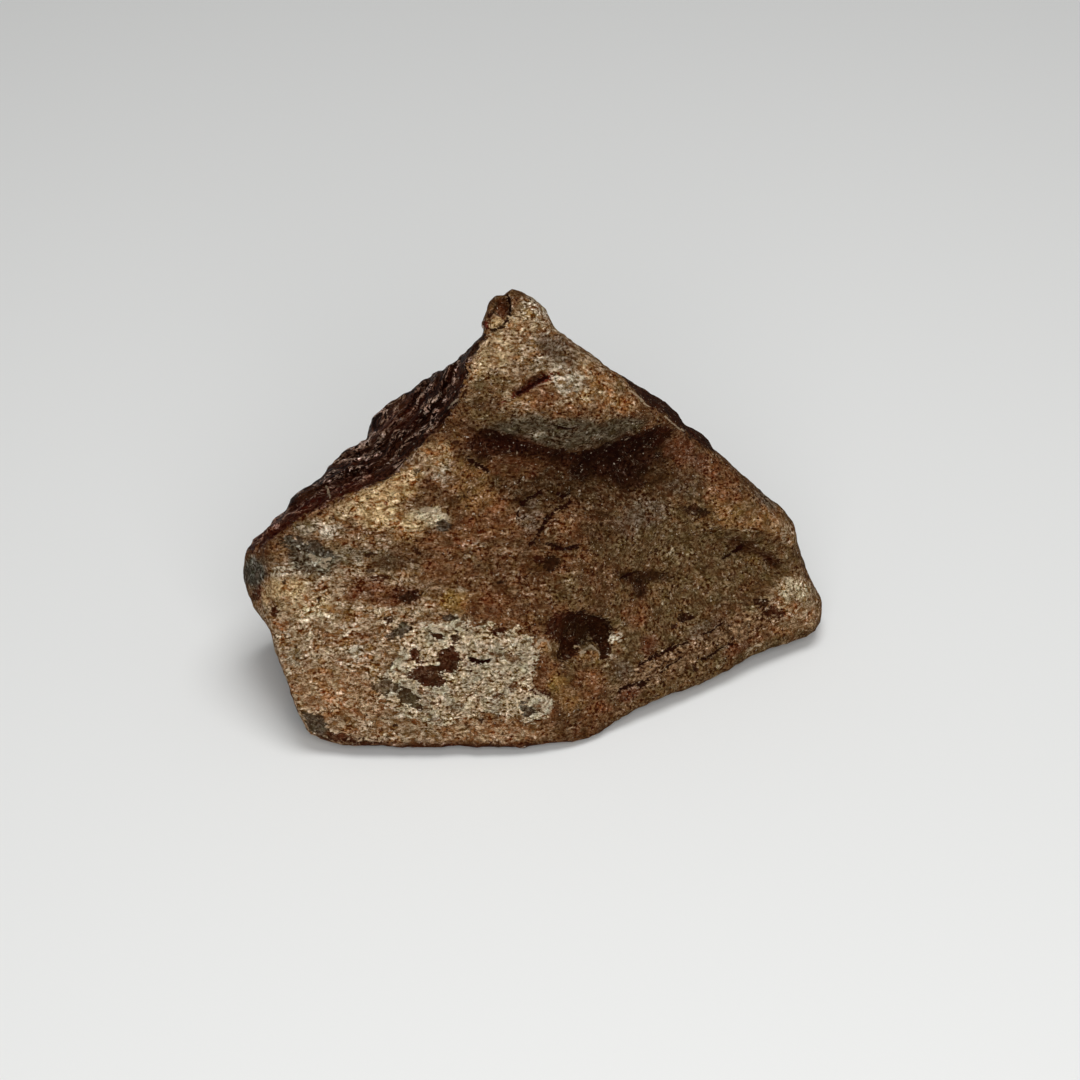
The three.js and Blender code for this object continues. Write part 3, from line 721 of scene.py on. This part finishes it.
def build_stone():
    points, faces = weld(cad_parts["meteorite"].data)
    for rounds in SETTLING_ROUNDS:
        points, faces = split(points, faces)
        points = settle(points, faces, rounds)
    facing = facing_of(points, faces)
    u, v, out = drawn(points)
    behind = smoothstep(face_out(u, v) - out, 1.5, 4.0)
    front = 1 - behind
    beyond, along_flank = from_line(FLANK_EDGE, u, v)

    # fields of noise, and places that stray by them
    fine = cloud(points, 0.9)
    medium = cloud(points, 3.2, 7.0)
    broad = cloud(points, 9.0, 21.0)
    warp_u = WANDER * cloud(points, 1.3, 40.0)
    warp_v = WANDER * cloud(points, 1.3, 60.0)
    slightly, partly, mostly, fully = ((u + share * warp_u, v + share * warp_v)
                                       for share in (0.3, 0.4, 0.6, 1.0))

    # the finish of every point
    coat = Coat(len(points), "umber")
    coat.add_ovals(PATCHES, *fully)
    # a maroon band along the front bottom edge: maroon crust, and painted shade where the underside
    # turns under
    foot = smoothstep(0.75 - v + 0.3 * warp_v, 0, 0.5) * smoothstep(u, -24, -20)
    coat.add("maroon", 0.8 * foot * (1 - smoothstep(u, 3, 6)))
    coat.blend(far_side(points, medium, broad), behind)
    varnish = Coat(len(points), "bark")
    varnish.add_ovals(FLANK_PATCHES, *fully)

    # marks on the face
    lines = {"crack": nearest_of(DARK_LINES, *slightly),
             "thread": nearest_of(LIGHT_LINES, *slightly)}
    lip = from_line(LIP, u, v)[0]
    # where shade is painted beneath the lip's overhang, on the face only
    lip_shade = (1 - smoothstep(-lip, 0.5, 2.4)) * smoothstep(u, -7.0, -5.0)
    lip_shade *= 1 - smoothstep(u, 11.5, 13)
    rim = from_line(RIM, u, v)[0] - BURIED * behind
    rim -= 2 * (1 - smoothstep(v, 26.0, 29.5))
    rim -= 2 * smoothstep(v, 37.0, 39.5)
    lime = -from_line(LIME_CRUST, *fully)[0] * front - BURIED * behind
    island = np.full(len(points), -9.0)
    island_tone = np.tile(FINISH["maroon"][:3], (len(points), 1))
    for *oval, name in ISLANDS:
        reach = (1 - np.sqrt(bump_at(*partly, *oval))) * max(min(oval[2:4]), 0.6)
        island_tone = np.where((reach > island)[:, None], FINISH[name][:3], island_tone)
        island = np.maximum(island, reach)
    island = island * front - BURIED * behind

    # flow ridges of the flank
    on_flank = smoothstep(beyond, -0.05, 0.2) * (1 - smoothstep(beyond, 5.5, 8.0))
    phase = beyond * 6.0 + 4.2 * cloud(points, 3.0, 11.0) + 0.6 * np.sin(0.9 * along_flank)
    ridge = (1 - np.abs(np.sin(0.5 * phase))) * (0.8 + 0.7 * medium)
    knobbles = 0.4 + 0.9 * cloud(points, 1.8, 17.0)
    ridge += (knobbles - ridge) * smoothstep(beyond, *ROUND_THE_BACK)

    # relief
    height = 0.09 * fine + 0.17 * medium + 0.10 * cloud(points, 1.5, 33.0, octaves=2)
    at_skyline = smoothstep(from_line(OUTLINE, u, v)[0], -1.0, -0.1)
    height += on_flank * RIDGE_HEIGHT * (ridge - 0.4) * (1 - 0.6 * at_skyline * front)
    height += LIME_THICKNESS * smoothstep(lime, -0.1, 0.1) * (1 - smoothstep(island, -0.15, 0.05))
    away, reach = lines["crack"]
    height -= CRACK_DEPTH * np.exp(-(0.5 * away**2)) * reach * front
    for *oval, depth in PITS:
        height -= depth * np.exp(-(bump_at(*mostly, *oval)**2)) * front
    for line, width, step in LEDGES:
        side = from_line(line, *slightly)[0]
        height += step * smoothstep(-side, -0.1, 0.15) * smoothstep(side, -width, 0) * front
    height *= smoothstep(points[:, 2], 0.02, 0.6)
    points = points + facing * height[:, None]
    points[:, 2] = np.maximum(points[:, 2], 0)

    fields = {
        "lime": lime,
        "island": island,
        "beyond": np.where(beyond < 7, beyond, 14 - beyond),
        "along": along_flank,
        "rim": rim,
        "ridge": ridge,
        "lip": lip,
        "lip_shade": lip_shade * front,
        "cover": coat.values[:, 6],
        "mottle": coat.values[:, 7],
        **{name: away for name, (away, _) in lines.items()},
        **{name + "_reach": reach * front for name, (_, reach) in lines.items()},
    }
    colours = {"ground": coat.values[:, :3], "deposit": coat.values[:, 3:6],
               "bark": varnish.values[:, :3], "crest_and_highlight": varnish.values[:, 3:6],
               "island_tone": island_tone}
    stone = bpy.data.objects.new("stone", mesh_of(points, faces, fields, colours))
    bpy.context.scene.collection.objects.link(stone)
    return stone


# ---------------------------------------------------------------- nodes
LIGHTNESS = (0.3, 0.59, 0.11)
SEEN_GAMMA = 2.2
DARKEST = (0.04, 0.03, 0.02)
WHITE = (1.0, 1.0, 1.0, 1.0)


def feed(tree, socket, value):
    if isinstance(value, Signal):
        tree.links.new(value.socket, socket)
    else:
        socket.default_value = value


def put(tree, kind, inputs=None, **settings):
    """Adds a shader node, and hands back its first output."""
    made = tree.nodes.new("ShaderNode" + kind)
    for name, value in settings.items():
        setattr(made, name, value)
    for name, value in (inputs or {}).items():
        feed(tree, made.inputs[name], value)
    return Signal(tree, made.outputs[0])


class Signal:
    """What a node puts out. A sum with it adds a node, and an index picks another output."""

    def __init__(self, tree, socket):
        self.tree = tree
        self.socket = socket

    def __getitem__(self, output):
        return Signal(self.tree, self.socket.node.outputs[output])

    def sum(self, operation, other=0.0, clamp=False):
        return put(self.tree, "Math", {0: self, 1: other}, operation=operation,
                   use_clamp=clamp)

    def __add__(self, other):
        return self.sum("ADD", other)

    def __sub__(self, other):
        return self.sum("SUBTRACT", other)

    def __rsub__(self, other):
        return put(self.tree, "Math", {0: other, 1: self}, operation="SUBTRACT")

    def __mul__(self, other):
        return self.sum("MULTIPLY", other)

    def __abs__(self):
        return self.sum("ABSOLUTE")

    def spread(self, low, high, to_low=0.0, to_high=1.0, kind="SMOOTHSTEP"):
        """Goes smoothly from one value to another while this goes from low to high."""
        return put(self.tree, "MapRange",
                   {"Value": self, "From Min": low, "From Max": high, "To Min": to_low,
                    "To Max": to_high}, interpolation_type=kind)

    def ramp(self, low, high, to_low=0.0, to_high=1.0):
        return self.spread(low, high, to_low, to_high, "LINEAR")

    def sparing(self, least):
        """1 outside this mask, and the least within it."""
        return self.spread(0.0, 1.0, 1.0, least)


def mix(share, a, b, blend="MIX"):
    tree = next(value.tree for value in (share, a, b) if isinstance(value, Signal))
    return put(tree, "Mix", {0: share, 6: a, 7: b}, data_type="RGBA", blend_type=blend)[2]


def tinted(colour, tint):
    return mix(1.0, colour, tint, "MULTIPLY")


def times(vector, gain):
    return put(vector.tree, "VectorMath", {0: vector, "Scale": gain}, operation="SCALE")


def vectors(operation, a, b):
    return put(a.tree, "VectorMath", {0: a, 1: b}, operation=operation)


def lightness(colour):
    return vectors("DOT_PRODUCT", colour, LIGHTNESS)["Value"]


def grains(place, scale, detail, roughness=0.5, distortion=0.0):
    """Fractal noise from 0 to 1, whose scale is how many lumps there are in a millimetre."""
    return put(place.tree, "TexNoise",
               {"Vector": place, "Scale": scale, "Detail": detail, "Roughness": roughness,
                "Distortion": distortion})["Fac"]


def group(name, inputs, *outputs, kind="Float"):
    tree = bpy.data.node_groups.new(name, "ShaderNodeTree")
    sockets = [("INPUT", *entry) for entry in inputs.items()]
    sockets += [("OUTPUT", output, kind) for output in outputs]
    for direction, label, socket in sockets:
        tree.interface.new_socket(label, in_out=direction, socket_type="NodeSocket" + socket)
    return tree, Signal(tree, tree.nodes.new("NodeGroupInput").outputs[0])


def finished(tree, results):
    sockets = tree.nodes.new("NodeGroupOutput").inputs
    for label, value in results.items():
        feed(tree, sockets[label], value)
    return tree


def use(tree, made_group, **inputs):
    return put(tree, "Group", inputs, node_tree=made_group)


# ---------------------------------------------------------------- parts of the crust's material
def flake_group():
    """A ragged field of flakes, drawn out across the stone, from about -0.5 to 0.5."""
    tree, given = group("flakes", {"Place": "Vector"}, "Flakes", "Specks", "Grain", "Crevice shade", "Lace")
    slanted = put(tree, "Mapping", {"Vector": given["Place"],
                                              "Rotation": (0.0, math.radians(-14), 0.0),
                                              "Scale": (0.7, 1.1, 1.35)})
    flakes = grains(slanted, 1.5, 8.0, 0.68, 0.4)
    field = (flakes - 0.5) * 1.25
    # dark lines between flakes: fold lines of the crust, and beside each lace line a line painted as
    # the shade of its raised edge
    fold = abs(grains(slanted, 2.1, 2.0, 0.5, 0.8) - 0.5)
    gap = fold.spread(0.022, 0.006) * flakes.spread(0.54, 0.48)
    lace = 0.0
    for size, shift, wide, low in ((1.0, 3.0, 0.036, -0.08), (1.8, 11.0, 0.042, -0.02)):
        web = grains(vectors("ADD", slanted, (shift, shift, 0.0)), size, 2.0, 0.55, 1.0)
        beside = abs(web - (0.5 + 1.7 * wide)).spread(0.5 * wide, 0.1 * wide)
        gap = gap.sum("MAXIMUM", beside * flakes.spread(0.50, 0.58))
        thread = abs(web - 0.5).spread(wide, 0.2 * wide)
        lace = (thread * field.spread(low - 0.06, low + 0.10)).sum("MAXIMUM", lace)
    return finished(tree, {"Flakes": field, "Specks": grains(slanted, 2.9, 3.0, 0.6, 0.7) - 0.5,
                           "Grain": grains(given["Place"], 3.6, 1.0), "Crevice shade": gap, "Lace": lace})


def pitted_group():
    """Scattered small pits and flecks of uneven size, in clusters, and pale curled threads."""
    tree, given = group("pits and flecks", {"Place": "Vector"}, "Pits", "Flecks", "Curls")
    place = given["Place"]
    warped = vectors("ADD", place, times(grains(place, 1.7, 3.0, 0.6)["Color"], 1.5))
    crowd = grains(place, 0.5, 2.0, 0.6).spread(0.42, 0.66)
    spots = {}
    for name, size, largest in (("Pits", 0.85, 0.36), ("Flecks", 1.6, 0.27)):
        cells = put(tree, "TexVoronoi", {"Vector": warped, "Scale": size})
        chance = put(tree, "SeparateColor", {"Color": cells["Color"]})["Red"]
        radius = chance.sum("POWER", 2.0) * largest * crowd
        spots[name] = (radius - cells["Distance"]).spread(-0.02, 0.03)
        crowd = 1.2 - crowd
    fold = abs(grains(place, 1.5, 2.0, 0.5, 1.0) - 0.47)
    reach = grains(warped, 1.1, 2.0)
    spots["Curls"] = fold.spread(0.012, 0.003) * reach.spread(0.54, 0.60)
    return finished(tree, spots)


def ragged_group():
    """Turns a distance field into a patch with a ragged edge."""
    names = ("Field", "Flakes", "Raggedness", "Softness")
    tree, given = group("ragged edge", dict.fromkeys(names, "Float"), "Mask")
    field = given["Flakes"] * given["Raggedness"] + given["Field"]
    return finished(tree, {"Mask": field.spread(given["Softness"] * -1.0, given["Softness"])})


def shaded_group():
    """Lightens or darkens a tone by a share of its own lightness, the same for every colour."""
    tree, given = group("shaded", {"Tone": "Color", "Change": "Float"}, "Tone", kind="Color")
    seen = put(tree, "Gamma", {"Color": given["Tone"], "Gamma": 1 / SEEN_GAMMA})
    step = lightness(seen) * given["Change"]
    step = put(tree, "CombineXYZ", {"X": step, "Y": step, "Z": step})
    seen = vectors("MAXIMUM", vectors("ADD", seen, step), DARKEST)
    seen = put(tree, "Gamma", {"Color": seen, "Gamma": SEEN_GAMMA})
    return finished(tree, {"Tone": seen})


def stained_group():
    """Deepens and reddens what is dark, and bleaches what is light."""
    tree, given = group("stained", {"Tone": "Color"}, "Tone", kind="Color")
    light = lightness(given["Tone"])
    tint = mix(light.ramp(0.02, 0.09), (0.84, 0.62, 0.40, 1.0), WHITE)
    tint = mix(light.ramp(0.18, 0.55), tint, (1.12, 1.2, 1.38, 1.0))
    return finished(tree, {"Tone": tinted(given["Tone"], tint)})


# ---------------------------------------------------------------- materials
# Tones of single marks, as they are seen.
TONES = {
    "varnish": (88, 53, 39),
    "under lime": (116, 90, 62),
    "lime": (172, 154, 122),
    "warm lime": (177, 150, 112),
    # painted shade beneath the lip's overhang, on the ground and then on the deposit
    "under the lip": (34, 15, 10),
    "dust under the lip": (80, 48, 32),
    "rim": (44, 24, 19),
    "small pit": (46, 24, 16),
    "fleck": (214, 190, 156),
    # dark lines between flakes, partly painted shade
    "crevice": (42, 16, 11),
    # painted highlight: tiny bright points of glassy grains
    "glint": (206, 186, 156),
    "crack": (36, 12, 9),
    "thread": (204, 180, 144),
}


def lit(name):
    return (*(linear(TONES[name]) / LIT), 1.0)


def weathered_crust():
    material = bpy.data.materials.new("weathered crust")
    material.use_nodes = True
    tree = material.node_tree
    shader = tree.nodes["Principled BSDF"]
    place = times(put(tree, "TexCoord")["Object"], 1 / MM)
    ragged = ragged_group()
    shaded = shaded_group()

    def field(name, output="Fac"):
        return put(tree, "Attribute", attribute_name=name)[output]

    def patch(distance, texture, raggedness, softness):
        return use(tree, ragged, Field=distance, Flakes=texture, Raggedness=raggedness,
                   Softness=softness)

    texture = use(tree, flake_group(), Place=place)
    flakes, specks, grain, crevice, lace = (texture[name] for name in
                                            ("Flakes", "Specks", "Grain", "Crevice shade", "Lace"))
    scatter = use(tree, pitted_group(), Place=place)
    broad = grains(place, 0.6, 5.0, 0.6)
    warm = grains(place, 0.8, 1.5)
    uneven = grains(place, 0.6, 3.0, 0.6)

    # where each kind of crust lies
    frayed = flakes + specks * 0.6
    lime = patch(field("lime"), flakes, 3.0, 0.12)
    flank = patch(field("beyond"), flakes, 2.2, 0.06)
    rim = patch(field("rim"), flakes, 1.5, 0.06)
    island = patch(field("island"), frayed, -1.7, 0.05)
    # where shade is painted in the hollow beneath the lip
    under = patch(field("lip") * -1.0, flakes, 1.6, 0.12) * field("lip_shade")
    # a lighter band along the raised edges of the lime crust and of the islands: paler crust, and a
    # painted highlight on those edges
    lime_inner = patch(field("lime") - 0.3, flakes, 3.0, 0.1)
    island_outer = patch(field("island") + 0.22, frayed, -1.7, 0.08)
    raised_edge_and_highlight = (lime - lime_inner).sum("MAXIMUM", (island_outer - island) * lime)

    # the varnished flank: fine ridges that run along its edge, and knobbles round the back; the
    # crests carry lighter crust and a painted highlight
    depth = put(tree, "SeparateXYZ", {"Vector": place})["Y"]
    across = put(tree, "CombineXYZ", {"X": field("along") * 0.48,
                                                "Y": field("beyond") * 1.7, "Z": depth * 0.4})
    bark = grains(across, 1.7, 4.0, 0.6, 1.1)
    knobbly = grains(place, 0.7, 5.0, 0.6, 0.9)
    bark = bark + (knobbly - bark) * field("beyond").spread(*ROUND_THE_BACK)
    bark = abs(bark - 0.5).spread(0.0, 0.08, 1.0, 0.0)
    crest = bark * field("ridge").spread(0.1, 0.7, 0.35, 1.0)
    varnish = mix(crest.ramp(0.35, 1.0), lit("varnish"), field("crest_and_highlight", "Color"))
    varnish = mix(crest.ramp(0.0, 0.5), field("bark", "Color"), varnish)

    # the ground, with broad changes of shade
    ground = mix(lime, field("ground", "Color"), lit("under lime"))
    ground = mix(island * 0.88, ground, field("island_tone", "Color"))
    # painted shade beneath the lip
    ground = mix(under * 0.9, ground, lit("under the lip"))
    ground = mix(rim * 0.9, ground, lit("rim"))
    rusty = tinted(ground, (1.12, 0.91, 0.80, 1.0))
    ground = mix(warm.spread(0.5, 0.66, 0.0, 0.6), ground, rusty)
    green = tinted(ground, (0.88, 0.97, 0.76, 1.0))
    ground = mix(warm.spread(0.48, 0.34, 0.0, 0.6), ground, green)
    ground = times(ground, broad.ramp(0.34, 0.66, 0.62, 1.42))

    # the deposit, in flakes whose edges are crisp in some places and soft in others
    lime_tone = mix(broad.spread(0.42, 0.58), lit("lime"), lit("warm lime"))
    deposit = mix(lime, field("deposit", "Color"), lime_tone)
    # the deposit there is darkened too, as painted shade
    deposit = mix(under, deposit, lit("dust under the lip"))
    cover = lime.ramp(0.0, 1.0, field("cover"), 0.62)
    covered = cover
    for bare in (island, rim, under):
        covered = covered * bare.sparing(0.25)
    level = (covered - 0.54) * 0.62 + flakes + specks * 0.6
    soft = uneven.spread(0.38, 0.62, 0.14, 0.02) * lime.sparing(0.3)
    flaked = level.spread(soft * -1.0, soft)
    tone = mix(flank, mix(flaked, ground, deposit), varnish)

    # light grains and dark gaps, stronger where the crust is mottled
    uneven = uneven.spread(0.38, 0.62, 0.25, 1.45)
    mottle = lime.ramp(0.0, 1.0, field("mottle"), 0.9) * uneven
    mottle = mottle * island.sparing(0.7) * flank.sparing(0.8)
    speck = specks + (grain - 0.5) * 0.5
    light = speck.spread(0.05, 0.12)
    gap = speck.spread(-0.05, -0.11)
    grainy = grain.ramp(0.3, 0.7, -0.32, 0.38) * uneven.ramp(0.0, 1.5, 0.4, 1.3)
    tone = use(tree, shaded, Tone=tone, Change=grainy * 0.5)
    hue = grains(place, 1.1, 1.0).ramp(0.38, 0.62)
    tone = tinted(tone, mix(hue, (1.04, 0.97, 0.93, 1.0), (0.98, 1.02, 0.95, 1.0)))
    flake = use(tree, shaded, Tone=tone, Change=0.23)
    tone = mix(light.sum("MULTIPLY", mottle, clamp=True), tone, flake)

    # a lace of deposit between the flakes, then hollows darkened with painted shade, pits, flecks,
    # and glassy sparkle painted in as tiny highlights
    strand = times(deposit, grain.ramp(0.3, 0.7, 0.95, 1.6))
    for bare in (island, flank, rim, under):
        lace = lace * bare.sparing(0.1)
    lace = lace * cover.spread(0.26, 0.46)
    tone = mix(lace * 0.9, tone, strand)
    # dark gaps between the grains: darker crust, and painted shade in the small hollows between them
    hollow = use(tree, shaded, Tone=tone, Change=-0.5)
    tone = mix(gap.sum("MULTIPLY", mottle, clamp=True), tone, hollow)
    unvarnished = 1.0 - flank
    pits = scatter["Pits"] * unvarnished
    flecks = scatter["Flecks"] * unvarnished
    tone = mix(pits * 0.85, tone, lit("small pit"))
    bright = mix(0.3, tinted(tone, (1.8, 2.0, 2.4, 1.0)), lit("fleck"))
    tone = mix(flecks * 0.8, tone, bright)
    tone = mix(scatter["Curls"] * unvarnished * 0.7, tone, bright)
    # dark lines between the flakes: real cracks, and painted shade beside the raised lace
    tone = mix(crevice * 0.7, tone, lit("crevice"))
    # the raised edges lightened: paler crust and a painted highlight
    tone = mix(raised_edge_and_highlight * 0.8, tone, tinted(tone, (1.35, 1.4, 1.45, 1.0)))
    # painted highlights: tiny bright points painted into the colour, where the coat also shines
    glint = grains(place, 3.1, 2.0).spread(0.70, 0.73)
    tone = mix(glint * 0.6, tone, lit("glint"))

    # cracks, and pale lines: threads of deposit, and along the right rim painted highlights
    fray = specks * 6.0 + flakes * 4.0

    def line(name):
        near = (abs(field(name)) + fray).spread(1.25, 0.75)
        return near * field(name + "_reach").spread(0.3, 0.6)

    crack = line("crack")
    tone = mix(crack * 0.92, tone, lit("crack"))
    tone = mix(line("thread") * 0.5, tone, lit("thread"))

    height = (flakes * 1.2 + grain * 0.9 + light * 0.25 + lace * 0.4 + flaked * 0.3 - gap * 0.35
              - crevice * 0.6 - pits * 0.8 + flecks * 0.4 - crack + bark * flank * 1.2)
    relief = put(tree, "Bump", {"Height": height, "Distance": BUMP_HEIGHT,
                                          "Strength": 1.0})
    finish = {
        "Base Color": use(tree, stained_group(), Tone=tone),
        "Roughness": grain.ramp(0.3, 0.7, 0.6, 0.85) - flank * 0.25,
        "Coat Weight": flank * crest * 0.12 + glint * 0.5,
        "Coat Roughness": 0.2,
        "Specular IOR Level": 0.02,
        "Normal": relief,
    }
    for name, value in finish.items():
        feed(tree, shader.inputs[name], value)
    return material


def plain_floor():
    material = bpy.data.materials.new("pale floor")
    material.use_nodes = True
    shader = material.node_tree.nodes["Principled BSDF"]
    shader.inputs["Base Color"].default_value = (0.785, 0.79, 0.78, 1.0)
    shader.inputs["Roughness"].default_value = 0.9
    shader.inputs["Specular IOR Level"].default_value = 0.1
    return material


# ---------------------------------------------------------------- the scene
stone = build_stone()
stone.data.materials.append(weathered_crust())
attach(stone, "root")
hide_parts("meteorite")

bpy.ops.mesh.primitive_plane_add(size=6)
floor = bpy.context.object
floor.name = "floor"
floor.data.materials.append(plain_floor())

# Soft light from overhead, another from in front, and an even light all round.
STONE_FOOT = Vector((0, 0, 0.01))
EVEN_LIGHT = 0.23
for name, place, size, power in (("key", (0.04, 0.0, 0.39), 0.26, 0.80),
                                 ("front", (0.02, -0.30, 0.19), 0.28, 0.75)):
    lamp = bpy.data.lights.new(name, "AREA")
    lamp.shape = "DISK"
    lamp.size = size
    lamp.energy = power
    light = bpy.data.objects.new(name, lamp)
    light.location = place
    light.rotation_euler = (STONE_FOOT - light.location).to_track_quat("-Z", "Y").to_euler()
    bpy.context.scene.collection.objects.link(light)

world = bpy.data.worlds.new("even light")
world.use_nodes = True
world.node_tree.nodes["Background"].inputs["Color"].default_value = WHITE
world.node_tree.nodes["Background"].inputs["Strength"].default_value = EVEN_LIGHT
bpy.context.scene.world = world

# Camera square to the drawing plane, at the eye's distance.
FRAME_WIDTH = 104.98
lens = bpy.data.cameras.new("camera")
lens.sensor_width = 36
lens.lens = lens.sensor_width * EYE_DISTANCE / FRAME_WIDTH
lens.clip_start, lens.clip_end = 0.02, 20
camera = bpy.data.objects.new("camera", lens)
aim = np.array([EYE_ACROSS, EYE_UP * math.sin(LEAN), EYE_UP * math.cos(LEAN)]) - ORIGIN
back = np.array([0, -math.cos(LEAN), math.sin(LEAN)])
camera.location = (aim + back * EYE_DISTANCE) * MM
camera.rotation_euler = (-Vector(back)).to_track_quat("-Z", "Y").to_euler()
bpy.context.scene.collection.objects.link(camera)
bpy.context.scene.camera = camera
bpy.context.scene.view_settings.view_transform = "Standard"
